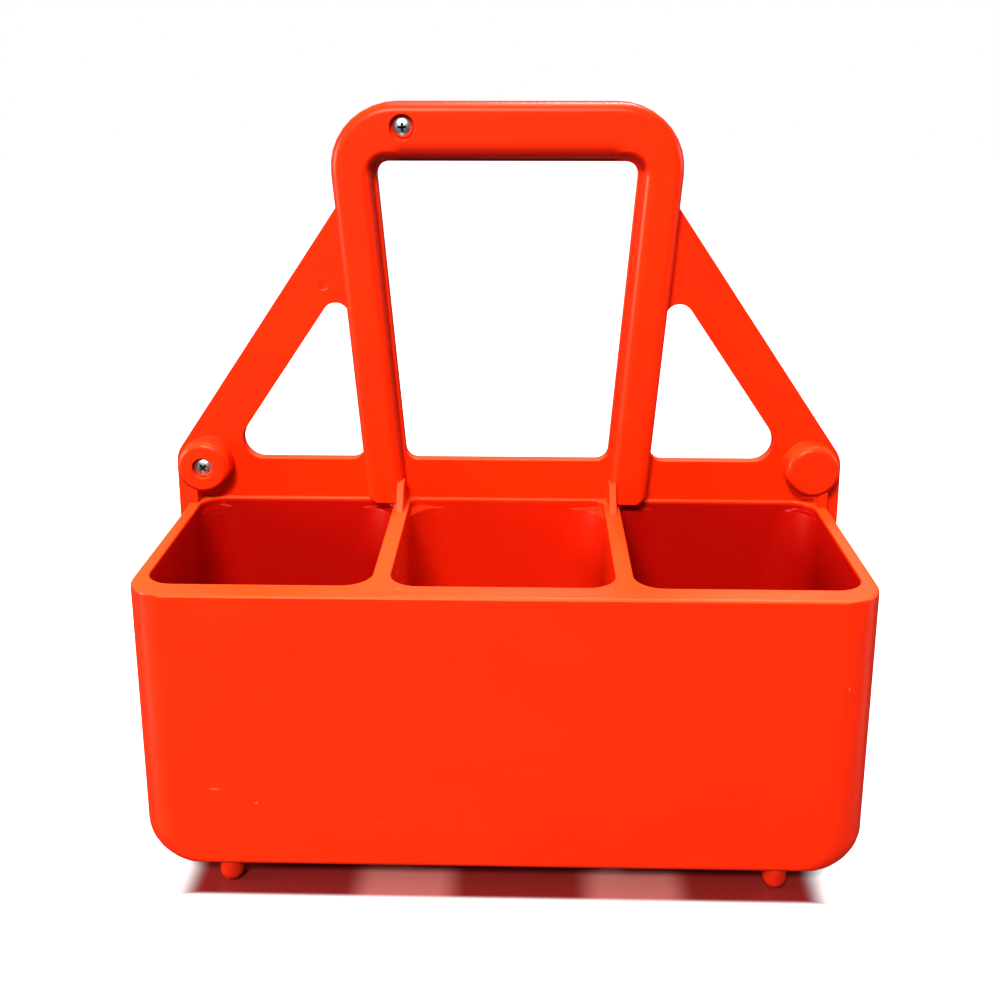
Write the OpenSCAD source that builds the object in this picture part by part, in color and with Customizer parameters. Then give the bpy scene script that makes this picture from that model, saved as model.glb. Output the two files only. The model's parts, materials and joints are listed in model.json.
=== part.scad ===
// Bottle carrier: a moulded tray of three pockets with a tall handle frame,
// closed from behind by a second frame and held by four screws.

/* [Tray] */
// Width across the tray at its rim
tray_w = 330; // [300:1:360]
// Depth from the front face to the handle frame
tray_d = 120; // [105:1:130]
// Height of the outer wall
tray_h = 133; // [115:1:150]
// Thickness of the outer wall
skirt_t = 2.8; // [2:0.1:3.5]
// Thickness of the deck round the pocket mouths
deck_t = 3; // [2:0.1:5]
// Radius of the upright front corners
corner_r = 18.5; // [12:0.5:26]
// Radius of the lower corners seen from the front
lower_r = 16; // [8:0.5:20]
// Radius along the bottom edge of the front face
bottom_edge_r = 3; // [1:0.1:4]
// Radius along the outer edge of the rim
rim_edge_r = 1.6; // [0.5:0.1:2]
// Slope of the outer wall in degrees
draft = 0.2; // [0:0.1:1.5]
// Height of the foot pegs under the outer wall
foot_h = 11.5; // [8:0.5:18]
// Diameter of a foot peg
foot_dia = 11; // [8:0.5:13]
// Distance of a foot peg from the middle of its pocket, across
foot_out = 16; // [8:0.1:20]

/* [Pockets] */
// Width of the deck between two pockets
divider_w = 8; // [7:0.1:11]
// Width of the rim at the two ends
side_rim = 6.2; // [6:0.1:9]
// Width of the rim along the front
front_rim = 12.2; // [10:0.1:15]
// Width of the ledge between the pockets and the handle frame
rear_rim = 1.5; // [1:0.1:3]
// Depth of a pocket below the rim
pocket_depth = 125; // [100:1:127]
// Thickness of a pocket's wall
cup_t = 2.6; // [2:0.1:3]
// Thickness of a pocket's floor
floor_t = 3; // [2:0.1:4]
// How far each side of a pocket leans in towards its floor
pocket_taper = 4.7; // [2:0.1:6]
// Radius of the front corners of a pocket's mouth
mouth_r = 13; // [8:0.5:16]
// Radius of the rear corners of a pocket's mouth beside a divider
mouth_rear_r = 5; // [3:0.5:8]
// Radius of the rear corners of a pocket's mouth at the tray's ends
mouth_end_r = 11; // [8:0.5:14]
// Radius of a pocket's corners under the mouth
well_r = 18; // [16:0.5:22]
// Radius of a pocket's corners at its floor
well_floor_r = 36; // [24:0.5:40]
// Radius between a pocket's wall and its floor
well_fillet = 8; // [4:0.5:12]
// Depth of the mouth above the ledges in its corners
ledge_depth = 4; // [2:0.5:8]
// How far the ledges slope down into the pocket
ledge_fall = 1; // [0.5:0.1:2]
// Radius of the edge round each mouth
mouth_edge_r = 0.8; // [0.3:0.1:1]

/* [Handle frame] */
// Thickness of each of the two frame plates
plate_t = 3; // [2:0.1:4]
// Width of the frame at the tray
frame_w = 346; // [336:1:370]
// Height of the frame above the rim
frame_h = 204.6; // [190:0.5:225]
// How far the frame reaches below the rim
frame_drop = 28; // [15:1:40]
// Height at which the frame's upright sides turn in
shoulder_z = 23.5; // [20:0.1:32]
// Distance below the frame's top at which the sloping sides meet the handle
crotch_drop = 51; // [44:0.5:60]
// Radius of the frame's shoulders
shoulder_r = 16; // [8:0.5:20]
// Radius of the inner corner where a strut meets the handle
crotch_r = 4; // [2:0.5:8]
// Radius of the frame's lower corners
frame_corner_r = 10; // [5:0.5:15]
// Height of the crossbar over the rim
bar_h = 21; // [16:0.1:26]
// Width of a sloping strut, measured across it
strut_w = 22.7; // [18:0.1:28]
// Radius at the upper corner of a side window
window_top_r = 7; // [4:0.5:8]
// Radius at the outer corner of a side window
window_out_r = 10.7; // [6:0.1:12]
// Radius at the inner corners of the windows
window_in_r = 6.5; // [4:0.5:8]

/* [Handle] */
// Height of the grip bar
grip_h = 28.9; // [24:0.1:34]
// Half the gap between the legs at the rim
leg_gap = 50.5; // [46:0.5:54]
// Width of a leg at the rim
leg_w = 21.4; // [19:0.1:27]
// Lean of the legs, sideways for each unit of height
leg_lean = 0.084; // [0.05:0.002:0.1]
// Width of the lip of plate that shows along the inside of the handle
lip = 1.8; // [0.8:0.1:3]
// How far the handle stands out from the plate
grip_rise = 11.5; // [9:0.1:14]
// Thickness of the handle's hollow wall
grip_t = 3; // [2:0.1:3.5]
// Radius of the handle's long edges
grip_edge_r = 5; // [3:0.1:5.5]
// Radius of the handle's upper outer corners
grip_corner_r = 32; // [24:0.5:40]
// Radius of the hand opening's upper corners
grip_inner_r = 6.5; // [5:0.5:12]
// Radius of the outer corner at a leg's lower end
leg_end_r = 6; // [5.9:0.1:8]
// Height of the round along a leg's lower end
leg_end_h = 1; // [0.5:0.1:3]
// Thickness of the gusset in front of each leg
gusset_t = 3.5; // [2.5:0.1:5]
// Height of a gusset above the rim
gusset_h = 12.6; // [8:0.1:18]
// How far a gusset reaches in front of its leg
gusset_d = 11; // [6:0.5:14]
// Width of a gusset's upper end in front of its leg
gusset_top = 1.2; // [0.8:0.1:3]
// Middle of a gusset from the middle of the tray
gusset_x = 54.3; // [53:0.1:56]
// Diameter of the moulding mark on the left strut
mark_dia = 5; // [3:0.5:6]
// Depth of the moulding mark
mark_depth = 0.3; // [0.2:0.1:0.6]
// Distance of the moulding mark from the middle
mark_x = 93; // [88:0.5:98]
// Height of the moulding mark above the rim
mark_z = 113; // [108:0.5:118]

/* [Hubs and screws] */
// Diameter of a hub
hub_dia = 27.5; // [25:0.5:29]
// Diameter of a hub's flat face
hub_face_dia = 20.6; // [18:0.2:22]
// How far a hub stands out from the plate
hub_rise = 11.5; // [9:0.1:14]
// Distance of a hub from the frame's side
hub_in = 16.3; // [15:0.1:18]
// Height of a hub above the rim
hub_z = 19; // [17:0.5:22]
// Thickness of the web from a hub to the tray's end
web_t = 4.3; // [3:0.1:6]
// Distance of a handle screw from the middle
screw_x = 50.4; // [40:0.2:60]
// Distance of a handle screw below the top of the handle
screw_drop = 12; // [10:0.2:14]
// Diameter of the screw column inside the handle
column_dia = 16; // [14:0.5:18]
// Diameter of a counterbore in the handle
grip_bore_dia = 12.6; // [11:0.1:13]
// Diameter of a counterbore in a hub
hub_bore_dia = 11; // [10.4:0.1:12]
// Depth of the counterbores
bore_depth = 3.8; // [3.4:0.1:6]
// Diameter of a screw's head
head_dia = 10; // [8:0.1:10.2]
// Height of a screw's head
head_h = 3.1; // [2.5:0.1:3.5]
// Diameter of a screw's shank
shank_dia = 4.4; // [3.5:0.1:5]
// Clearance between a shank and the hole it passes through
shank_gap = 0.4; // [0.2:0.1:0.6]
// Clearance between a shank and the hole it bites in
pilot_gap = 0.1; // [0.05:0.05:0.2]
// How far a screw reaches into the other half
screw_reach = 9; // [7:0.5:10]
// Room left past a screw's tip
tip_room = 0.6; // [0.4:0.1:1]

/* [Hidden] */

orange = "#ff4014";
orange_rear = "#f5390f";
steel = "#b9bcc0";

// Segments in a rounded corner, in an edge round and in a turned shape
corner_n = 9;
edge_n = 4;
$fn = 48;

rim_z = foot_h + tray_h;
back_d = 2 * plate_t + max(grip_rise, hub_rise);
crotch_z = frame_h - crotch_drop;
screw_z = frame_h - screw_drop;
hub_x = frame_w / 2 - hub_in;
frame_y = (tray_d - back_d) / 2;
pocket_w = (tray_w - 2 * side_rim - 2 * divider_w) / 3;
pocket_d = tray_d - front_rim - rear_rim;
pitch = pocket_w + divider_w;
pocket_y = -(rear_rim + pocket_d / 2);
lean = tan(draft);

// Small overlap for cuts and joins, and the step of plate that shows round the handle
eps = 0.5;
step = 0.2;

// Points and outlines

function unit(v) = v / norm(v);
function normal_in(a, b) = let (u = unit(b - a)) [-u.y, u.x];
function cross2(a, b) = a.x * b.y - a.y * b.x;
function convex(a, b, c) = cross2(b - a, c - b) > 0;
function spin(v, a) = [v.x * cos(a) - v.y * sin(a), v.x * sin(a) + v.y * cos(a)];

// Where two lines, each through a point along a direction, cross
function meet(p, u, q, v) = p + u * cross2(q - p, v) / cross2(u, v);

// An outline moved inwards by d, drawn anticlockwise
function inset(pts, d) = let (n = len(pts)) [
    for (i = [0 : n - 1])
        let (a = pts[(i + n - 1) % n], b = pts[i], c = pts[(i + 1) % n])
            meet(b + d * normal_in(a, b), b - a, b + d * normal_in(b, c), c - b)
];

// The points of one rounded corner at b
function corner(a, b, c, r) =
    let (u = unit(a - b), v = unit(c - b),
         half = acos(u * v) / 2,
         hub = b + unit(u + v) * r / sin(half),
         start = b + u * r / tan(half) - hub,
         sweep = (convex(a, b, c) ? 1 : -1) * (180 - 2 * half))
    [for (k = [0 : corner_n]) hub + spin(start, sweep * k / corner_n)];

// An outline with rounded corners, moved inwards by d
function ring(pts, rs, d = 0) =
    let (n = len(pts), q = inset(pts, d))
    [for (i = [0 : n - 1])
        let (a = q[(i + n - 1) % n], b = q[i], c = q[(i + 1) % n],
             r = convex(a, b, c) ? rs[i] - d : rs[i] + d)
            each corner(a, b, c, max(r, 0.05))];

function at_height(flat, h) = [for (p = flat) [p.x, p.y, h]];

// A closed solid through rings that have the same number of points
module loft(rings) {
    n = len(rings[0]);
    last = (len(rings) - 1) * n;
    sides = [
        for (k = [0 : len(rings) - 2], i = [0 : n - 1])
            let (a = k * n + i, b = k * n + (i + 1) % n)
                each [[a, a + n, b + n], [a, b + n, b]]
    ];
    polyhedron(points = [for (r = rings) each r],
               faces = concat([[for (i = [0 : n - 1]) i]], sides,
                              [[for (i = [n - 1 : -1 : 0]) last + i]]),
               convexity = 8);
}

// A cutter for an opening up to high, moved inwards by d, whose upper edge is rounded by r
module opening(pts, rs, d, low, high, r) {
    loft(concat([at_height(ring(pts, rs, d), low)],
                [for (k = [0 : edge_n])
                    at_height(ring(pts, rs, d - r * (1 - cos(90 * k / edge_n))),
                              high - r + r * sin(90 * k / edge_n))],
                [at_height(ring(pts, rs, d - r), high + eps)]));
}

// The handle frame, drawn flat: x across, y up from the rim, height from the joint between the halves

function leg_in(z) = leg_gap + leg_lean * z;
function leg_out(z) = leg_gap + leg_w + leg_lean * z;

grip_z = frame_h - grip_h;

// The handle's outline, its sides and top moved inwards by d and its lower ends up by e
function handle_ring(d, e) =
    let (low = leg_out(e) - d, top = frame_h - d, high = leg_out(top) - d)
    ring([[-low, e], [low, e], [high, top], [-high, top]],
         [leg_end_r - d, leg_end_r - d, grip_corner_r - d, grip_corner_r - d]);

// The gap between the legs runs on past their lower ends
gap_z = -2 * leg_end_r;
gap_pts = [[-leg_in(gap_z), gap_z], [leg_in(gap_z), gap_z],
           [leg_in(grip_z), grip_z], [-leg_in(grip_z), grip_z]];
gap_rs = [1, 1, grip_inner_r, grip_inner_r];

// The sloping side runs from the shoulder to the crotch beside the handle
shoulder = [frame_w / 2, shoulder_z];
crotch = [leg_out(crotch_z), crotch_z];
slope = unit(crotch - shoulder);
plate_pts = [
    [-frame_w / 2, -frame_drop], [frame_w / 2, -frame_drop], shoulder, crotch,
    [leg_out(frame_h), frame_h], [-leg_out(frame_h), frame_h],
    [-crotch.x, crotch.y], [-shoulder.x, shoulder.y]
];
plate_rs = [frame_corner_r, frame_corner_r, shoulder_r, crotch_r,
            grip_corner_r, grip_corner_r, crotch_r, shoulder_r];

// The hand opening ends at the crossbar, and a side window lies between leg and strut
hand_pts = [[-leg_in(bar_h), bar_h], [leg_in(bar_h), bar_h],
            [leg_in(grip_z), grip_z], [-leg_in(grip_z), grip_z]];
hand_rs = [window_in_r, window_in_r, grip_inner_r, grip_inner_r];

strut_in = shoulder + strut_w * normal_in(shoulder, crotch);
leg_side = [leg_out(bar_h), bar_h];
window_pts = [
    leg_side,
    meet(strut_in, slope, leg_side, [1, 0]),
    meet(strut_in, slope, leg_side, [leg_lean, 1])
];
window_rs = [window_in_r, window_out_r, window_top_r];

hub_h = plate_t + hub_rise;
grip_full = plate_t + grip_rise;

// A hub with a flat face and a rounded rim
module hub() {
    top_r = (hub_dia - hub_face_dia) / 2;
    rotate_extrude()
        polygon(concat(
            [[0, plate_t / 2], [hub_dia / 2, plate_t / 2]],
            [for (k = [0 : corner_n])
                [hub_face_dia / 2 + top_r * cos(90 * k / corner_n),
                 hub_h - top_r + top_r * sin(90 * k / corner_n)]],
            [[0, hub_h]]));
}

// The hollow left inside a hub round its screw column
module hub_hollow() {
    rotate_extrude()
        translate([column_dia / 2, -eps])
            square([hub_dia / 2 - grip_t - column_dia / 2, hub_h - grip_t - bore_depth + eps]);
}

// The hole for a screw's head and shank, from a face at height h
module screw_way(h, bore_dia) {
    translate([0, 0, h - bore_depth]) cylinder(d = bore_dia, h = bore_depth + eps);
    translate([0, 0, -eps]) cylinder(d = shank_dia + 2 * shank_gap, h = h);
}

// The hole that the tip of a screw from the other half bites in
module pilot() {
    translate([0, 0, -eps]) cylinder(d = shank_dia + 2 * pilot_gap, h = screw_reach + tip_room + eps);
}

// A straight cut through the plate
module window(pts, rs) {
    translate([0, 0, -eps]) linear_extrude(plate_t + 2 * eps) polygon(ring(pts, rs));
}

// The hollow inside the handle, round its two screw columns
module grip_hollow() {
    difference() {
        translate([0, 0, -eps])
            linear_extrude(grip_full - grip_t + eps) polygon(handle_ring(grip_t, grip_t));
        translate([0, 0, -2 * eps])
            linear_extrude(grip_full) polygon(ring(gap_pts, gap_rs, -lip - grip_t));
        for (s = [-1, 1]) translate([s * screw_x, screw_z, -2 * eps])
            cylinder(d = column_dia, h = grip_full);
    }
}

// The handle before its gap is cut, with a large round along its sides and top
module handle() {
    loft(concat([at_height(handle_ring(step, step), plate_t / 2)],
                [for (k = [0 : edge_n])
                    let (back = 1 - cos(90 * k / edge_n))
                        at_height(handle_ring(step + grip_edge_r * back, step + leg_end_h * back),
                                  grip_full - grip_edge_r * (1 - sin(90 * k / edge_n)))]));
}

// One half of the frame, with its plate, half the handle and a hub at each side
module frame_half() {
    difference() {
        union() {
            difference() {
                linear_extrude(plate_t) polygon(ring(plate_pts, plate_rs));
                window(hand_pts, hand_rs);
                window(window_pts, window_rs);
                mirror([1, 0, 0]) window(window_pts, window_rs);
            }
            difference() {
                handle();
                opening(gap_pts, gap_rs, -lip, 0, grip_full, grip_edge_r);
            }
            for (s = [-1, 1]) translate([s * hub_x, hub_z, 0]) hub();
        }
        grip_hollow();
        for (s = [-1, 1]) translate([s * hub_x, hub_z, 0]) hub_hollow();
        translate([-screw_x, screw_z, 0]) screw_way(grip_full, grip_bore_dia);
        translate([-hub_x, hub_z, 0]) screw_way(hub_h, hub_bore_dia);
        translate([screw_x, screw_z, 0]) pilot();
        translate([hub_x, hub_z, 0]) pilot();
        translate([-mark_x, mark_z, plate_t - mark_depth]) cylinder(d = mark_dia, h = 1, $fn = 6);
    }
}

// Places a flat drawing upright, with its heights towards the front
module stand_up() {
    translate([0, plate_t, 0]) rotate([90, 0, 0]) children();
}

// Turns a part of the front half to the rear half
module turn_round() {
    translate([0, 2 * plate_t, 0]) rotate([0, 0, 180]) children();
}

// The tray, with the rim at z = 0 and the frame's face at y = 0

// The outer wall leans in below the rim, at its ends and along its front
function leaned(p, w) = [
    p.x * (1 + lean * p.z / w),
    p.y - lean * p.z * max(0, -p.y) / tray_d,
    p.z
];

// How far a rounded edge of radius r stands back at distance s from its face
function set_back(s, r) = s >= r ? 0 : r - sqrt(r * r - (r - s) * (r - s));

// The rounded tub that the outer wall follows, moved inwards by d
module tub(d, top, rear) {
    w = tray_w / 2 - d;
    r = corner_r - d;
    low_r = lower_r - d;
    edge_r = max(bottom_edge_r - d, 0.3);
    steps = concat([for (a = [0, 6, 12, 18, 25, 33, 45, 57, 68, 79, 90]) r * (1 - cos(a))],
                   [tray_d - d + rear]);
    loft([for (s = steps)
        let (x = w - set_back(s, r),
             low = -tray_h + d + set_back(s, edge_r),
             high = top - set_back(s, rim_edge_r),
             flat = ring([[-x, low], [x, low], [x, high], [-x, high]],
                         [low_r, low_r, rim_edge_r, rim_edge_r]))
            [for (i = [len(flat) - 1 : -1 : 0])
                leaned([flat[i].x, -tray_d + d + s, flat[i].y], w)]]);
}

// The open underside between the feet
module underside() {
    x = tray_w / 2 - lower_r - 2;
    front = -tray_d + skirt_t + 2.5;
    translate([0, 0, -tray_h - eps])
        linear_extrude(2 * skirt_t)
            polygon(ring([[-x, front], [x, front], [x, plate_t + eps], [-x, plate_t + eps]],
                         [10, 10, 0.5, 0.5]));
}

// The outline of a pocket, moved inwards by d, with its corner radii
function pocket_ring(d, rs, z) =
    at_height(ring([[-pocket_w / 2, -pocket_d / 2], [pocket_w / 2, -pocket_d / 2],
                    [pocket_w / 2, pocket_d / 2], [-pocket_w / 2, pocket_d / 2]], rs, d), z);

function mouth_rs(side) = [mouth_r, mouth_r,
                           side > 0 ? mouth_end_r : mouth_rear_r,
                           side < 0 ? mouth_end_r : mouth_rear_r];
function even_rs(r) = [r, r, r, r];

// The walls of a pocket, moved outwards by t, from the floor up to the ledge
function well(t) =
    let (fillet = well_fillet + t, low = -pocket_depth - (t > 0 ? floor_t : 0),
         straight = low + fillet)
    concat([for (k = [edge_n : -1 : 0])
               pocket_ring(pocket_taper - t + fillet * (1 - cos(90 * k / edge_n)),
                           even_rs(well_floor_r + pocket_taper),
                           straight - fillet * sin(90 * k / edge_n))],
           [pocket_ring(-t, even_rs(well_r), -ledge_depth - ledge_fall - t)]);

// The outside of a pocket, which widens under the ledges to carry them
module cup(side) {
    loft(concat(well(cup_t), [for (z = [-ledge_depth - cup_t, -deck_t / 2])
        pocket_ring(-cup_t, mouth_rs(side), z)]));
}

// The hollow of a pocket, from its floor out through its mouth
module pocket(side) {
    rs = mouth_rs(side);
    loft(concat(well(0),
                [pocket_ring(0, rs, -ledge_depth)],
                [for (k = [0 : edge_n])
                    pocket_ring(-mouth_edge_r * (1 - cos(90 * k / edge_n)), rs,
                                -mouth_edge_r + mouth_edge_r * sin(90 * k / edge_n))],
                [pocket_ring(-mouth_edge_r, rs, eps)]));
}

// A pair of pegs with round ends, moulded against the pockets' walls
module feet(y) {
    r = foot_dia / 2;
    for (s = [-1, 1]) translate([s * (pitch + foot_out), y, -rim_z])
        rotate_extrude()
            polygon(concat([for (k = [0 : corner_n])
                               [r * sin(90 * k / corner_n), r * (1 - cos(90 * k / corner_n))]],
                           [[r, rim_z / 2], [0, rim_z / 2]]));
}

// A web from each end of the tray up to the hub, and a gusset from each divider up to its leg
module braces() {
    web_d = hub_rise - 1;
    web_out = tray_w / 2 - rim_edge_r / 4;
    web_low = -deck_t / 3;
    web_top = hub_z - hub_dia / 2 + grip_t;
    back = grip_rise - grip_edge_r - eps;
    for (s = [-1, 1])
        translate([s * (web_out - web_t / 2), -web_d / 2 + eps / 2, (web_low + web_top) / 2])
            cube([web_t, web_d + eps, web_top - web_low], center = true);
    for (s = [-1, 1]) translate([s * gusset_x + gusset_t / 2, 0, 0])
        rotate([90, 0, -90])
            linear_extrude(gusset_t)
                polygon([[back, -deck_t / 2], [grip_rise + gusset_d, -deck_t / 2],
                         [grip_rise + gusset_d, 0], [grip_rise + gusset_top, gusset_h],
                         [back, gusset_h]]);
}

// Moves the whole to its place over the ground
module place() {
    translate([0, frame_y, rim_z]) children();
}

module carrier_tray() {
    color(orange) place() difference() {
        union() {
            difference() {
                tub(0, 0, plate_t / 2);
                tub(skirt_t, -deck_t, plate_t + eps);
                underside();
            }
            for (i = [-1 : 1]) translate([i * pitch, pocket_y, 0]) cup(i);
            feet(-tray_d + skirt_t + foot_dia / 2 - eps);
            feet(-foot_dia / 2 - cup_t);
            braces();
            stand_up() frame_half();
        }
        for (i = [-1 : 1]) translate([i * pitch, pocket_y, 0]) pocket(i);
    }
}

module rear_frame() {
    color(orange_rear) place() turn_round() stand_up() frame_half();
}

// A pan head screw with a cross recess, its seat at z = 0 and its head upwards
module pan_screw(length) {
    slot = [head_dia * 0.56, 1.25, 1.7];
    difference() {
        rotate_extrude()
            polygon(concat([[0, 0], [head_dia / 2, 0], [head_dia / 2, head_h * 0.3]],
                           [for (k = [1 : corner_n])
                               [head_dia / 2 * cos(80 * k / corner_n),
                                head_h * (0.3 + 0.7 * sin(90 * k / corner_n))]],
                           [[0, head_h]]));
        for (a = [45, 135]) rotate(a)
            translate([0, 0, head_h - slot.z / 2 + eps / 2])
                cube([slot.x, slot.y, slot.z + eps], center = true);
    }
    translate([0, 0, -length + shank_dia / 2]) cylinder(d = shank_dia, h = length - shank_dia / 2 + eps);
    translate([0, 0, -length]) cylinder(d1 = 1, d2 = shank_dia, h = shank_dia / 2);
}

module handle_screw() {
    stand_up() translate([-screw_x, screw_z, grip_full - bore_depth])
        pan_screw(grip_full - bore_depth + screw_reach);
}

module hub_screw() {
    stand_up() translate([-hub_x, hub_z, hub_h - bore_depth])
        pan_screw(hub_h - bore_depth + screw_reach);
}

module handle_screw_front() {
    color(steel) place() handle_screw();
}

module handle_screw_rear() {
    color(steel) place() turn_round() handle_screw();
}

module hub_screw_front() {
    color(steel) place() hub_screw();
}

module hub_screw_rear() {
    color(steel) place() turn_round() hub_screw();
}

carrier_tray();
rear_frame();
handle_screw_front();
handle_screw_rear();
hub_screw_front();
hub_screw_rear();
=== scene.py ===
# %% [markdown]
# # A moulded bottle carrier
# The measured part is already there: a tray with three deep pockets, a tall hollow handle on an
# A-shaped frame, and four screws. This lesson gives it its looks. It puts up a camera and a small
# studio, writes the finish of the orange plastic as maths, smooths the two mouldings, and sets
# four detailed screws in their holes with Geometry Nodes.

# %% Load the measured part
import json
import math

import bmesh
import bpy
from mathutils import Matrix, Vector


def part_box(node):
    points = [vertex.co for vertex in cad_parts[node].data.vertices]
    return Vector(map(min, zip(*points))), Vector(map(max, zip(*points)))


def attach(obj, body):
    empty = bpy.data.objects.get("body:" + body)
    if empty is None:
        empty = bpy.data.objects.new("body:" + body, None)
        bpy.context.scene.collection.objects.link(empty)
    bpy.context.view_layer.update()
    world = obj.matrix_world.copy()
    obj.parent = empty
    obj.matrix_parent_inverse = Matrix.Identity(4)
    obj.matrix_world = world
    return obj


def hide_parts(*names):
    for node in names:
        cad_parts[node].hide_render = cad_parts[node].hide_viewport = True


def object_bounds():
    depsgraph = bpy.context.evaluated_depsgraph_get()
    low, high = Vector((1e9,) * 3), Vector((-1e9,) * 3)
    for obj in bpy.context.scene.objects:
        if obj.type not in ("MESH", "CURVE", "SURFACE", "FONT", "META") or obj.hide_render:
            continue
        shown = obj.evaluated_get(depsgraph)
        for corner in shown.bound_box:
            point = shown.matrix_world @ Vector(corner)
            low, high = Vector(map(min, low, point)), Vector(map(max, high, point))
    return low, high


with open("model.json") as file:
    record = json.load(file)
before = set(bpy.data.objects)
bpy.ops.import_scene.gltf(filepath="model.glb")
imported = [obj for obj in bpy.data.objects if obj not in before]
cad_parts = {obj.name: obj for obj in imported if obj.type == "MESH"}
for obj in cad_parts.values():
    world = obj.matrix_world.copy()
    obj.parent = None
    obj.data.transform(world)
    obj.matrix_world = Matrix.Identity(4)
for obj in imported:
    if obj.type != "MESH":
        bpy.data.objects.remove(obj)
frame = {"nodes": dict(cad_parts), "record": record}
cad_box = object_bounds()
mm = 0.001


def add_object(name, data):
    """A new object in the scene that holds a mesh, a lamp or a lens."""
    made = bpy.data.objects.new(name, data)
    bpy.context.scene.collection.objects.link(made)
    return made


print("nodes:", ", ".join(sorted(frame["nodes"])))

# %% [markdown]
# The picture is taken from slightly above and almost straight in front. A real photographer keeps
# the camera nearly level, so that upright edges stay upright, and takes in the lower part of the
# object by cropping. The same thing is done here: a small pitch, and a shift of the lens that
# moves the frame down without tilting the camera further.

# %% Camera
FOCAL_PX, PICTURE_PX, SENSOR_MM = 1187.0, 1000, 36.0


def make_camera(place, pitch_deg, yaw_deg, shift_y):
    """A camera that looks down by pitch and to the left by yaw."""
    lens = bpy.data.cameras.new("photo_lens")
    lens.sensor_width = SENSOR_MM
    lens.lens = FOCAL_PX * SENSOR_MM / PICTURE_PX
    lens.shift_y = shift_y
    lens.clip_start, lens.clip_end = 0.01, 50
    camera = add_object("photo_camera", lens)
    camera.location = place
    camera.rotation_euler = (math.radians(90 - pitch_deg), 0, math.radians(yaw_deg))
    bpy.context.scene.camera = camera
    return camera


camera = make_camera((0.0103, -0.5367, 0.3682), pitch_deg=13.24, yaw_deg=1.35, shift_y=-0.16)
print("camera at", tuple(round(v, 3) for v in camera.location))

# %% [markdown]
# Materials and node trees are graphs, but they read best as sums. This small class wraps a socket
# so that Python's operators add the Math nodes, and one method makes any other kind of node from
# its type, its settings and the values or links of its sockets.

# %% Node graphs as Python sums


class Value:
    """A socket that can be added, multiplied and compared like a number."""

    def __init__(self, graph, socket):
        self.graph, self.socket = graph, socket

    def _math(self, operation, *operands, clamp=False):
        settings = {"operation": operation, "use_clamp": clamp}
        return self.graph.node("ShaderNodeMath", settings, dict(enumerate(operands)))

    def __add__(self, other):
        return self._math("ADD", self, other)

    __radd__ = __add__

    def __sub__(self, other):
        return self._math("SUBTRACT", self, other)

    def __rsub__(self, other):
        return self._math("SUBTRACT", other, self)

    def __mul__(self, other):
        return self._math("MULTIPLY", self, other)

    __rmul__ = __mul__

    def __abs__(self):
        return self._math("ABSOLUTE", self)

    def clamped(self):
        return self._math("ADD", self, 0.0, clamp=True)

    def larger(self, other):
        return self._math("MAXIMUM", self, other)

    def between(self, low, high):
        """0 at low, 1 at high and smooth in between; low may be the larger of the two."""
        return self.graph.node(
            "ShaderNodeMapRange",
            {"interpolation_type": "SMOOTHSTEP"},
            {"Value": self, "From Min": low, "From Max": high},
        )


class Graph:
    """A node tree that nodes are added to by one method."""

    def __init__(self, tree):
        self.tree = tree

    def node(self, kind, settings=None, inputs=None, out=0):
        """A new node of a kind, and the value that one of its outputs gives."""
        made = self.tree.nodes.new(kind)
        for name, value in (settings or {}).items():
            setattr(made, name, value)
        for key, value in (inputs or {}).items():
            if isinstance(value, Value):
                self.tree.links.new(value.socket, made.inputs[key])
            else:
                made.inputs[key].default_value = value
        return Value(self, made.outputs[out])

    def parts(self, vector):
        """The x, y and z of a vector."""
        split = self.node("ShaderNodeSeparateXYZ", inputs={0: vector}).socket.node
        return [Value(self, output) for output in split.outputs]

    def mix(self, factor, first, second):
        """The first colour where the factor is 0, the second where it is 1."""
        colours = {0: factor, 6: first, 7: second}
        return self.node("ShaderNodeMix", {"data_type": "RGBA"}, colours, out=2)


def new_material(name):
    """An empty material, its graph and its output node."""
    material = bpy.data.materials.new(name)
    material.use_nodes = True
    material.node_tree.nodes.clear()
    output = material.node_tree.nodes.new("ShaderNodeOutputMaterial")
    return material, Graph(material.node_tree), output


def srgb(red, green, blue, alpha=1.0):
    """A colour as a paint chart gives it, 0 to 255, turned into linear light."""
    def linear(v):
        v = v / 255
        return v / 12.92 if v <= 0.04045 else ((v + 0.055) / 1.055) ** 2.4
    return (linear(red), linear(green), linear(blue), alpha)


# %% [markdown]
# The studio is a white table with a white wall far behind it, and a dim room behind the camera.
# The carrier stands on short pegs, and the narrow shadow under it is dark red, with two paler
# bands where light falls through between the pocket cups. The table is a real surface, and that
# shadow and those bands are painted in its colour where the carrier stands. A few millimetres
# outside the painted shadow the table glows, for the camera alone, so that it fades into the white
# wall without throwing more light on the plastic. In a reflection the wall is brighter than the
# table and the room, which keeps the orange deep on the upright faces and lifts it on the rims.

# %% Table and room
# Half the painted shadow's width and depth, how softly it ends, and where it ends behind
shadow_x, shadow_y = cad_box[1].x - 37 * mm, cad_box[1].y + 2 * mm
SHADOW_EDGE = 5 * mm
SHADOW_BACK = (-25 * mm, 10 * mm)
# The painted shadow under a cup and the painted light under a gap, the gaps' distance
# from the middle and their shift aside
CUP_SHADOW_RED, GAP_LIGHT_RED = (0.19, 0.005, 0.003), (0.46, 0.115, 0.1)
GAP_X, GAP_SHIFT = 52 * mm, 8 * mm
GAP_FADE = (28 * mm, 14 * mm)


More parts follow.
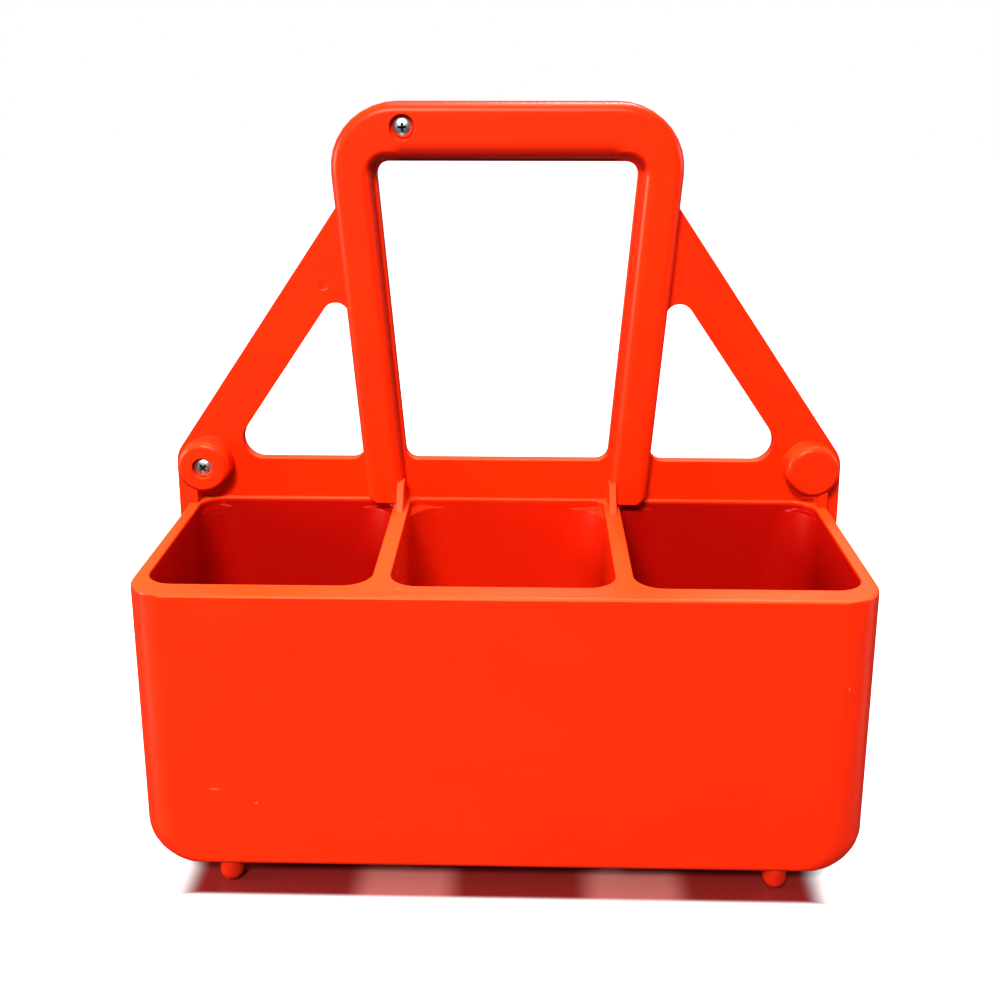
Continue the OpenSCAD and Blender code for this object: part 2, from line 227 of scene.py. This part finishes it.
def make_table(size, paint, bounce, mirrored):
    """A table: white with a painted shadow for the camera, grey as it lights, dark in mirrors."""
    mesh = bpy.data.meshes.new("table_top")
    half = size / 2
    corners = [(-half, -half, 0), (half, -half, 0), (half, half, 0), (-half, half, 0)]
    mesh.from_pydata(corners, [], [(0, 1, 2, 3)])
    table = add_object("table_top", mesh)
    material, graph, output = new_material("white_table")
    seen = graph.node("ShaderNodeLightPath", out="Is Camera Ray")
    lit = graph.node("ShaderNodeLightPath", out="Is Diffuse Ray")
    x, y, _ = graph.parts(graph.node("ShaderNodeTexCoord", out="Object"))
    # The painted shadow ends four times as softly at its sides as in front
    away = ((abs(x) - shadow_x) * 0.25).larger(abs(y) - shadow_y)
    clear = away.between(0, SHADOW_EDGE).larger(y.between(*SHADOW_BACK))
    light_through_gap = abs(abs(x - GAP_SHIFT) - GAP_X).between(*GAP_FADE)
    shadow_reds = [light_through_gap * (gap - cup) + cup for cup, gap in zip(CUP_SHADOW_RED, GAP_LIGHT_RED)]
    red, green, blue = (seen * (clear * (paint - part) + part) + lit * bounce + mirrored
                        for part in shadow_reds)
    tone = graph.node("ShaderNodeCombineColor", inputs={0: red, 1: green, 2: blue})
    glow = seen * away.between(0.1 * SHADOW_EDGE, SHADOW_EDGE)
    white_glow = graph.node("ShaderNodeCombineColor", inputs={0: glow, 1: glow, 2: glow})
    surface = graph.node("ShaderNodeBsdfPrincipled", inputs={
        "Base Color": tone, "Roughness": 0.22, "IOR": 1.5, "Emission Strength": 1.0,
        "Emission Color": white_glow})
    graph.tree.links.new(surface.socket, output.inputs["Surface"])
    mesh.materials.append(material)


def light_the_room(wall, dim, even):
    """White for the camera, a wall behind and a dim room in front for mirrors, and even light."""
    world = bpy.data.worlds.new("white_room")
    world.use_nodes = True
    graph = Graph(world.node_tree)
    world.node_tree.nodes.clear()
    output = world.node_tree.nodes.new("ShaderNodeOutputWorld")
    camera_ray = graph.node("ShaderNodeLightPath", out="Is Camera Ray")
    glossy_ray = graph.node("ShaderNodeLightPath", out="Is Glossy Ray")
    _, backwards, _ = graph.parts(graph.node("ShaderNodeTexCoord", out="Generated"))
    mirrored = backwards.between(-0.2, 0.5) * (wall - dim) + dim
    level = camera_ray * (1 - even) + glossy_ray * (mirrored - even) + even
    back = graph.node("ShaderNodeBackground", inputs={"Color": (1, 1, 1, 1), "Strength": level})
    graph.tree.links.new(back.socket, output.inputs["Surface"])
    bpy.context.scene.world = world


make_table(size=8.0, paint=0.82, bounce=0.15, mirrored=0.008)
light_the_room(wall=0.22, dim=0.04, even=0.15)
bpy.context.scene.view_settings.view_transform = "Standard"
print("the contact zone reaches", round(shadow_x, 3), "aside and", round(shadow_y, 3), "to the front")

# %% [markdown]
# Six lamps light the plastic. The front lamp, high and a little to the left, does most of the
# work: the front wall and the rims are bright, and what faces down is dark. The small edge lamp
# draws the thin bright line along the upper edge of the grip. The top lamp reaches the rims, the
# left and right lamps light the rounded corners of the tray, and the back lamp the rear frame.

# %% Lamps


def make_lamp(name, place, target, size, watts):
    """A square lamp at a place, turned to its target."""
    data = bpy.data.lights.new(name, "AREA")
    data.shape = "SQUARE"
    data.size = size
    data.energy = watts
    lamp = add_object(name, data)
    lamp.location = place
    lamp.rotation_euler = (Vector(target) - Vector(place)).to_track_quat("-Z", "Y").to_euler()
    return lamp


middle = (0, 0, 0.15)
lamps = [
    make_lamp("front_lamp", (-0.4, -1.6, 1.5), middle, size=0.4, watts=50),
    make_lamp("edge_lamp", (0.0, -1.3, 1.25), middle, size=0.2, watts=8),
    make_lamp("top_lamp", (0.0, 0.2, 1.6), middle, size=0.35, watts=6),
    make_lamp("left_lamp", (-1.3, -0.3, 0.4), middle, size=0.4, watts=18),
    make_lamp("right_lamp", (1.3, 0.1, 0.45), middle, size=0.4, watts=5),
    make_lamp("back_lamp", (0.3, 1.3, 1.8), middle, size=0.6, watts=30),
]
print("lamps:", ", ".join(lamp.name for lamp in lamps))

# %% [markdown]
# The plastic is a glossy red-orange polyolefin. Its colour is nearly even, with a painted sheen
# that makes the rims and other upward faces paler, and painted shade that makes it deeper inside
# the pockets (less in the middle one), where it faces down, along the grip's lower edge and on the
# pegs. It has faint cloudy flow marks, a fine sparked grain that breaks up the gloss, hairline rubs
# where bottles and tables have touched it, and a few small scuffs. All of them are functions of
# the place in the object and of the way the surface faces, so they stay put when the camera moves.
# The Bevel node rounds the light on edges that are sharper than a real mould could make them.

# %% Orange plastic
tray_front = [point.co for point in frame["nodes"]["carrier_tray"].data.vertices if point.co.y < 0]
front_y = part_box("carrier_tray")[0].y
half_w = max(place.x for place in tray_front)
rim_z = max(place.z for place in tray_front)
GRIP_HEIGHT = 29.1 * mm
grip_low = cad_box[1].z - GRIP_HEIGHT
mounts = {mount["name"]: mount["pos_m"] for mount in frame["record"]["mounts"]}
pocket_pitch, pocket_y, _ = mounts["pocket_floor_right"]
# The first colour is a painted sheen on faces that look up, the second a painted shade, the third
# real wear
TOP_SHEEN_ORANGE, SHADE_RED, WORN = srgb(255, 96, 30), srgb(140, 5, 1), srgb(255, 168, 138)
HAIRLINES, DUST, SCUFFS = 0.08, 0.04, 0.34


def scuff(graph, place, at, size, turn_deg):
    """A soft spot at a place: 1 in its middle, 0 outside its size across, deep and high."""
    local = graph.node(
        "ShaderNodeMapping",
        {"vector_type": "TEXTURE"},
        {"Vector": place, "Location": at, "Rotation": (0, math.radians(turn_deg), 0),
         "Scale": [side * mm for side in size]},
    )
    distance = graph.node("ShaderNodeVectorMath", {"operation": "LENGTH"}, {0: local}, out="Value")
    return 1 - distance.between(0.1, 0.5)


def painted_top_sheen(z, upward):
    """A painted sheen: how pale a surface is that looks up, the rim and the bar most, the grip a
    little.
    """
    open_to_light = upward.between(0.25, 0.9) * (z - rim_z).between(-12 * mm, -1 * mm)
    return open_to_light * ((z - rim_z).between(35 * mm, 20 * mm) * 0.4 + 0.2)


def painted_shade_mask(x, z, upward):
    """How deep a painted shade is where it faces down, along the grip's lower edge and on the pegs.
    """
    facing_down = upward.between(-0.03, -0.4) * ((z - rim_z).between(-20 * mm, 10 * mm) * 0.7 + 0.2)
    over_edge = z - grip_low
    grip_edge = over_edge.between(12 * mm, 5 * mm) * over_edge.between(-5 * mm, 0)
    grip_edge = grip_edge * abs(x).between(60 * mm, 50 * mm) * upward.between(0.3, 0.1) * 0.9
    on_pegs = z.between(13 * mm, 9 * mm) * 0.5
    return facing_down.larger(grip_edge).larger(on_pegs)


def painted_pocket_shade(graph, place, facing):
    """How deep the painted shade is inside a pocket: less in the middle one, and none outside them.
    """
    x, y, z = graph.parts(place)
    right, back, upward = graph.parts(facing)
    across = graph.node("ShaderNodeMath", {"operation": "WRAP"},
                        {0: x, 1: pocket_pitch / 2, 2: -pocket_pitch / 2})
    # A pocket's walls face its axis, and its floor and ledges face up
    inward = upward * 10 * mm - across * right - (y - pocket_y) * back
    # The rims at the ends, along the front and round the mouths stay clear
    side_rim = (half_w - abs(x)).between(4 * mm, 5 * mm)
    front_rim = (y - front_y).between(12 * mm, 13 * mm)
    mouth = (rim_z - z).between(0.4 * mm, 2.4 * mm)
    # The outer pockets get more painted shade than the middle one
    outer_pocket_shade = abs(x).between(50 * mm, 58 * mm) * 0.42 + 0.58
    return inward.between(0, 4 * mm) * side_rim * front_rim * mouth * outer_pocket_shade


def orange_plastic(name, colour, deep_colour, marks, pocket_shade_red=None):
    """Glossy plastic between two colours, with its painted sheen, painted shade and worn places."""
    material, graph, output = new_material(name)
    place = graph.node("ShaderNodeTexCoord", out="Object")
    facing = graph.node("ShaderNodeNewGeometry", out="Normal")
    x, _, z = graph.parts(place)
    _, _, upward = graph.parts(facing)

    def cloud(scale, detail=2.0, rough=0.5, stretch=None):
        """Noise that can be finer along one axis than along another."""
        where = place
        if stretch:
            where = graph.node("ShaderNodeMapping", inputs={"Vector": place, "Scale": stretch})
        inputs = {"Vector": where, "Scale": scale, "Detail": detail, "Roughness": rough}
        return graph.node("ShaderNodeTexNoise", inputs=inputs)

    flow = cloud(9, 3, 0.55, stretch=(1, 1, 1.8)).between(0.3, 0.7)
    dust = cloud(260, 3, 0.6).between(0.66, 0.78)
    hairs = cloud(42, 4, 0.7, stretch=(0.35, 1, 14)).between(0.64, 0.72)
    rubbed = cloud(14, 2).between(0.5, 0.68)
    scratched = hairs * rubbed

    tone = graph.mix(flow, colour, deep_colour)
    # A painted sheen on faces that look up near the rim
    tone = graph.mix(painted_top_sheen(z, upward), tone, TOP_SHEEN_ORANGE)
    # Painted shade where it faces down, along the grip's lower edge and on the pegs
    tone = graph.mix(painted_shade_mask(x, z, upward), tone, SHADE_RED)
    # Painted shade inside the pockets
    if pocket_shade_red:
        tone = graph.mix(painted_pocket_shade(graph, place, facing), tone, pocket_shade_red)
    worn = scratched * HAIRLINES + dust * rubbed * DUST
    for at, size, turn_deg in marks:
        worn = worn + scuff(graph, place, at, size, turn_deg) * SCUFFS
    worn = worn.clamped()
    tone = graph.mix(worn, tone, WORN)

    grain = cloud(1500, 2, 0.6)
    waves = cloud(38, 1)
    height = grain * 0.022 + waves * 0.25 - scratched * 0.03
    rounded = graph.node("ShaderNodeBevel", {"samples": 8}, {"Radius": 0.7 * mm})
    normal = graph.node("ShaderNodeBump", inputs={
        "Strength": 0.35, "Distance": 0.6 * mm, "Height": height, "Normal": rounded})
    shine = 0.31 + flow * 0.05 + grain * 0.06 + worn * 0.25
    surface = graph.node("ShaderNodeBsdfPrincipled", inputs={
        "Base Color": tone, "Roughness": shine, "Normal": normal, "IOR": 1.49,
        "Specular IOR Level": 0.3, "Specular Tint": (1.0, 0.62, 0.4, 1.0)})
    graph.tree.links.new(surface.socket, output.inputs["Surface"])
    return material


# Each scuff's place in metres, its size in millimetres and its turn in degrees
tray_scuffs = [
    ((-0.1285, front_y, rim_z - 0.0938), (7, 3, 1.2), 4),
    ((-0.1100, front_y, rim_z - 0.1005), (2.5, 3, 1.3), -14),
    ((0.1506, front_y, rim_z - 0.0409), (1.2, 3, 3), 10),
    ((0.1542, front_y, rim_z - 0.0633), (1.2, 3, 4), -8),
    ((0.1548, front_y, rim_z - 0.0919), (1.4, 3, 3), 20),
    ((-0.0450, front_y + 0.0090, rim_z), (3.5, 1.5, 2), 0),
    ((-0.0590, front_y + 0.0350, rim_z - 0.0005), (1.5, 4, 2), 0),
]
# The tray's pocket colour is a painted shade
tray_orange = orange_plastic("tray_orange", srgb(246, 41, 2), srgb(241, 37, 1), tray_scuffs,
                             pocket_shade_red=srgb(170, 5, 1))
frame_orange = orange_plastic("frame_orange", srgb(240, 31, 1), srgb(234, 29, 1), [])
print("plastic:", tray_orange.name, frame_orange.name)

# %% [markdown]
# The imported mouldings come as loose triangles. A copy is welded, its flat facets are joined back
# into whole faces, and the angle between faces decides what is smooth. The Weighted Normal
# modifier lets large flat faces win over the narrow rounds beside them, so that a flat wall stays
# flat up to its edge.

# %% Mouldings
WELD_UNDER = 0.01 * mm
FLAT_UNDER, SMOOTH_UNDER = math.radians(0.4), math.radians(32)
FLAT_FACE_WEIGHT = 80


def smooth(shell):
    """Shade all faces smooth, apart from the edges that turn by too much."""
    for face in shell.faces:
        face.smooth = True
    for edge in shell.edges:
        edge.smooth = edge.is_manifold and edge.calc_face_angle(0) < SMOOTH_UNDER


def dress(node, name, material):
    """A welded and smoothed copy of a moulding, which takes its node's place."""
    mesh = frame["nodes"][node].data.copy()
    mesh.name = name
    mesh.materials.clear()
    shell = bmesh.new()
    shell.from_mesh(mesh)
    bmesh.ops.remove_doubles(shell, verts=shell.verts, dist=WELD_UNDER)
    bmesh.ops.dissolve_limit(shell, angle_limit=FLAT_UNDER, verts=shell.verts,
                             edges=shell.edges, use_dissolve_boundaries=False)
    smooth(shell)
    shell.to_mesh(mesh)
    shell.free()
    mesh.materials.append(material)
    piece = add_object(name, mesh)
    even = piece.modifiers.new("flat faces stay flat", "WEIGHTED_NORMAL")
    even.keep_sharp = True
    even.weight = FLAT_FACE_WEIGHT
    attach(piece, "root")
    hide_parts(node)
    print(name, "has", len(mesh.polygons), "faces")


dress("carrier_tray", "tray_moulding", tray_orange)
dress("rear_frame", "rear_moulding", frame_orange)

# %% [markdown]
# A pan head screw has a domed head with a cross recess and a coarse thread that cuts its own way
# into plastic. One screw is turned from its profile and its recess is cut by a Boolean. The
# thread is a ridge that winds down the shank. Each point stores how deep it lies in the recess,
# and a painted shade darkens the steel with it, since a narrow recess in bright metal mirrors
# mostly itself.

# %% One screw
HEAD_R, HEAD_H, SHANK_R, CORE_R, LENGTH = 5.0 * mm, 3.1 * mm, 2.2 * mm, 1.6 * mm, 19.7 * mm
# The share of the head's height that its upright edge takes
HEAD_EDGE = 0.32
THREAD_PITCH = 1.7 * mm
AROUND = 40


def bright_steel():
    """Zinc plated steel, with a painted shade inside the cross recess."""
    material, graph, output = new_material("bright_screw_steel")
    place = graph.node("ShaderNodeTexCoord", out="Object")
    fine = graph.node("ShaderNodeTexNoise", inputs={"Vector": place, "Scale": 900, "Detail": 3})
    pit = graph.node("ShaderNodeAttribute", {"attribute_name": "recess"}, out="Fac")
    # Painted shade: the deeper a point lies in the recess, the darker the steel
    tone = graph.mix(pit, srgb(230, 235, 237), srgb(34, 48, 50))
    shine = 0.26 + fine * 0.14
    normal = graph.node("ShaderNodeBump", inputs={
        "Strength": 0.2, "Distance": 0.05 * mm, "Height": fine})
    surface = graph.node("ShaderNodeBsdfPrincipled", inputs={
        "Base Color": tone, "Metallic": 1.0, "Roughness": shine, "Normal": normal})
    graph.tree.links.new(surface.socket, output.inputs["Surface"])
    return material


def object_from(shell, name):
    """An object with the shell's faces turned outwards. The shell is used up."""
    bmesh.ops.recalc_face_normals(shell, faces=shell.faces)
    mesh = bpy.data.meshes.new(name)
    shell.to_mesh(mesh)
    shell.free()
    return add_object(name, mesh)


def turned(profile):
    """A closed shell from a profile of (radius, height) that starts and ends on the axis."""
    shell = bmesh.new()
    rings = []
    for radius, height in profile[1:-1]:
        rings.append([shell.verts.new((radius * math.cos(a), radius * math.sin(a), height))
                      for a in (2 * math.pi * k / AROUND for k in range(AROUND))])
    for low, high in zip(rings, rings[1:]):
        for k in range(AROUND):
            n = (k + 1) % AROUND
            shell.faces.new((low[k], low[n], high[n], high[k]))
    for ring, (_, height) in ((rings[0], profile[0]), (rings[-1], profile[-1])):
        tip = shell.verts.new((0, 0, height))
        for k in range(AROUND):
            shell.faces.new((ring[k], ring[(k + 1) % AROUND], tip))
    return shell


def cross_cutter():
    """Two crossed wedges that narrow towards the bottom of the recess."""
    shell = bmesh.new()
    long_top, long_low, wide_top, wide_low = 2.9 * mm, 1.3 * mm, 0.7 * mm, 0.45 * mm
    top, low = HEAD_H + 0.5 * mm, HEAD_H - 2.0 * mm
    for turn in (0, 1):
        corners = []
        for height, long, wide in ((low, long_low, wide_low), (top, long_top, wide_top)):
            for sx, sy in ((-1, -1), (1, -1), (1, 1), (-1, 1)):
                x, y = sx * long, sy * wide
                corners.append(shell.verts.new((y, -x, height) if turn else (x, y, height)))
        for face in ((3, 2, 1, 0), (4, 5, 6, 7), (0, 1, 5, 4), (1, 2, 6, 5), (2, 3, 7, 6),
                     (3, 0, 4, 7)):
            shell.faces.new([corners[i] for i in face])
    return shell


def add_thread(shell, pitch, start, end):
    """A ridge of triangular section that winds round the shank."""
    steps = int((end - start) / pitch * AROUND)
    root_r, half_ridge = CORE_R - 0.1 * mm, 0.32 * pitch
    rows = []
    for k in range(steps + 1):
        angle = 2 * math.pi * k / AROUND
        height = start + pitch * k / AROUND
        fade = min(1, k / AROUND * 2, (steps - k) / AROUND * 2)
        crest = CORE_R + (SHANK_R - CORE_R) * fade
        section = ((root_r, -half_ridge), (crest, 0), (root_r, half_ridge))
        rows.append([shell.verts.new((r * math.cos(angle), r * math.sin(angle), height + dz))
                     for r, dz in section])
    for low, high in zip(rows, rows[1:]):
        for i in range(3):
            j = (i + 1) % 3
            shell.faces.new((low[i], low[j], high[j], high[i]))
    shell.faces.new(rows[0])
    shell.faces.new(list(reversed(rows[-1])))


def dome_height(rise):
    """The head's height over its seat: its upright edge, then a dome that rises by 0 to 1."""
    return HEAD_H * (HEAD_EDGE + (1 - HEAD_EDGE) * rise)


def mark_recess(shell):
    """Write on each point how deep it lies in the cross recess, for the material's painted shade.
    """
    recess_r, first_dark, darkest_after = 3.2 * mm, 0.1 * mm, 0.9 * mm
    pit = shell.verts.layers.float.new("recess")
    for point in shell.verts:
        radius = math.hypot(point.co.x, point.co.y)
        if radius < recess_r and point.co.z > 0:
            depth = dome_height(math.sqrt(1 - (radius / HEAD_R) ** 2)) - point.co.z
            point[pit] = min(1.0, max(0.0, (depth - first_dark) / darkest_after))


def screw_blank():
    """One screw with its seat at z = 0 and its head upwards."""
    dome = [(HEAD_R * math.cos(math.radians(a)), dome_height(math.sin(math.radians(a))))
            for a in range(0, 88, 8)]
    foot = [(0, -LENGTH), (0.35 * mm, -LENGTH), (CORE_R, -LENGTH + 2.2 * mm), (CORE_R, -3 * mm),
            (SHANK_R, -2.4 * mm), (SHANK_R, 0), (HEAD_R - 0.15 * mm, 0), (HEAD_R, 0.15 * mm)]
    body = object_from(turned(foot + dome + [(0, HEAD_H)]), "screw_blank")
    cutter = object_from(cross_cutter(), "cross_cutter")
    cut = body.modifiers.new("cross recess", "BOOLEAN")
    cut.operation, cut.solver, cut.use_self = "DIFFERENCE", "EXACT", True
    cut.object = cutter
    bpy.context.view_layer.update()
    done = body.evaluated_get(bpy.context.evaluated_depsgraph_get())
    shell = bmesh.new()
    shell.from_mesh(done.to_mesh())
    bpy.data.objects.remove(cutter)
    bpy.data.objects.remove(body)
    add_thread(shell, THREAD_PITCH, start=-LENGTH + 2.4 * mm, end=-4 * mm)
    mark_recess(shell)
    smooth(shell)
    return object_from(shell, "screw")


screw = screw_blank()
print("one screw has", len(screw.data.polygons), "faces")

# %% [markdown]
# The same screw sits in four places: two heads look to the front on the left, and two look to
# the back on the other side, because the rear half of the frame is the front half turned round.
# Geometry Nodes put one copy on each of four points. Each point says which way it faces and how
# far its cross is turned, since no two screws stop at the same angle.

# %% Four screws by Geometry Nodes
# The node each screw replaces, whether it faces the rear, and its cross's turn in degrees
SEATS = [("handle_screw_front", 0, 2), ("hub_screw_front", 0, 40),
         ("handle_screw_rear", 1, 71), ("hub_screw_rear", 1, 25)]


def seat_of(node, faces_rear):
    """The point under a screw's head, on its axis."""
    low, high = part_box(node)
    centre = (low + high) / 2
    depth = high.y - HEAD_H if faces_rear else low.y + HEAD_H
    return (centre.x, depth, centre.z)


def screw_tree():
    """A node group that puts a screw on each point, faces it, turns it and gives it its finish."""
    tree = bpy.data.node_groups.new("screws_on_points", "GeometryNodeTree")
    sockets = (("Points", "NodeSocketGeometry"), ("Screw", "NodeSocketObject"),
               ("Size", "NodeSocketFloat"), ("Finish", "NodeSocketMaterial"))
    for name, kind in sockets:
        tree.interface.new_socket(name, in_out="INPUT", socket_type=kind)
    tree.interface.new_socket("Screws", in_out="OUTPUT", socket_type="NodeSocketGeometry")
    graph = Graph(tree)
    points = graph.node("NodeGroupInput")
    given = {s.name: Value(graph, s) for s in points.socket.node.outputs if s.name}
    facing = graph.node("GeometryNodeInputNamedAttribute", {"data_type": "FLOAT"},
                        {"Name": "facing"})
    spin = graph.node("GeometryNodeInputNamedAttribute", {"data_type": "FLOAT"}, {"Name": "spin"})
    turn = graph.node("ShaderNodeCombineXYZ", inputs={"X": math.pi / 2, "Z": facing})
    twist = graph.node("ShaderNodeCombineXYZ", inputs={"Z": spin})
    shape = graph.node("GeometryNodeObjectInfo", inputs={"Object": given["Screw"]}, out="Geometry")
    placed = graph.node("GeometryNodeInstanceOnPoints", inputs={
        "Points": given["Points"], "Instance": shape, "Rotation": turn, "Scale": given["Size"]})
    spun = graph.node("GeometryNodeRotateInstances", inputs={
        "Instances": placed, "Rotation": twist, "Local Space": True})
    solid = graph.node("GeometryNodeRealizeInstances", inputs={"Geometry": spun})
    painted = graph.node("GeometryNodeSetMaterial", inputs={
        "Geometry": solid, "Material": given["Finish"]})
    end = tree.nodes.new("NodeGroupOutput")
    tree.links.new(painted.socket, end.inputs["Screws"])
    return tree


def set_input(modifier, name, value):
    """Set an input of a Geometry Nodes modifier by its name."""
    for item in modifier.node_group.interface.items_tree:
        if item.name == name and item.in_out == "INPUT":
            modifier[item.identifier] = value


def place_screws(screw, material):
    """One piece with all four screws. The screw that it copies is used up."""
    mesh = bpy.data.meshes.new("screw_points")
    mesh.from_pydata([seat_of(node, rear) for node, rear, _ in SEATS], [], [])
    facing = mesh.attributes.new("facing", "FLOAT", "POINT")
    facing.data.foreach_set("value", [math.pi * rear for _, rear, _ in SEATS])
    spin = mesh.attributes.new("spin", "FLOAT", "POINT")
    spin.data.foreach_set("value", [math.radians(angle) for _, _, angle in SEATS])
    points = add_object("screw_points", mesh)
    nodes = points.modifiers.new("screws", "NODES")
    nodes.node_group = screw_tree()
    set_input(nodes, "Screw", screw)
    set_input(nodes, "Size", 1.0)
    set_input(nodes, "Finish", material)
    graph = bpy.context.evaluated_depsgraph_get()
    plain = bpy.data.meshes.new_from_object(points.evaluated_get(graph))
    plain.name = "screws"
    for spare in (points, screw):
        bpy.data.objects.remove(spare)
    piece = add_object("screws", plain)
    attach(piece, "root")
    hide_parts(*(node for node, _, _ in SEATS))
    return piece


screws = place_screws(screw, bright_steel())
print("screws have", len(screws.data.polygons), "faces in all")
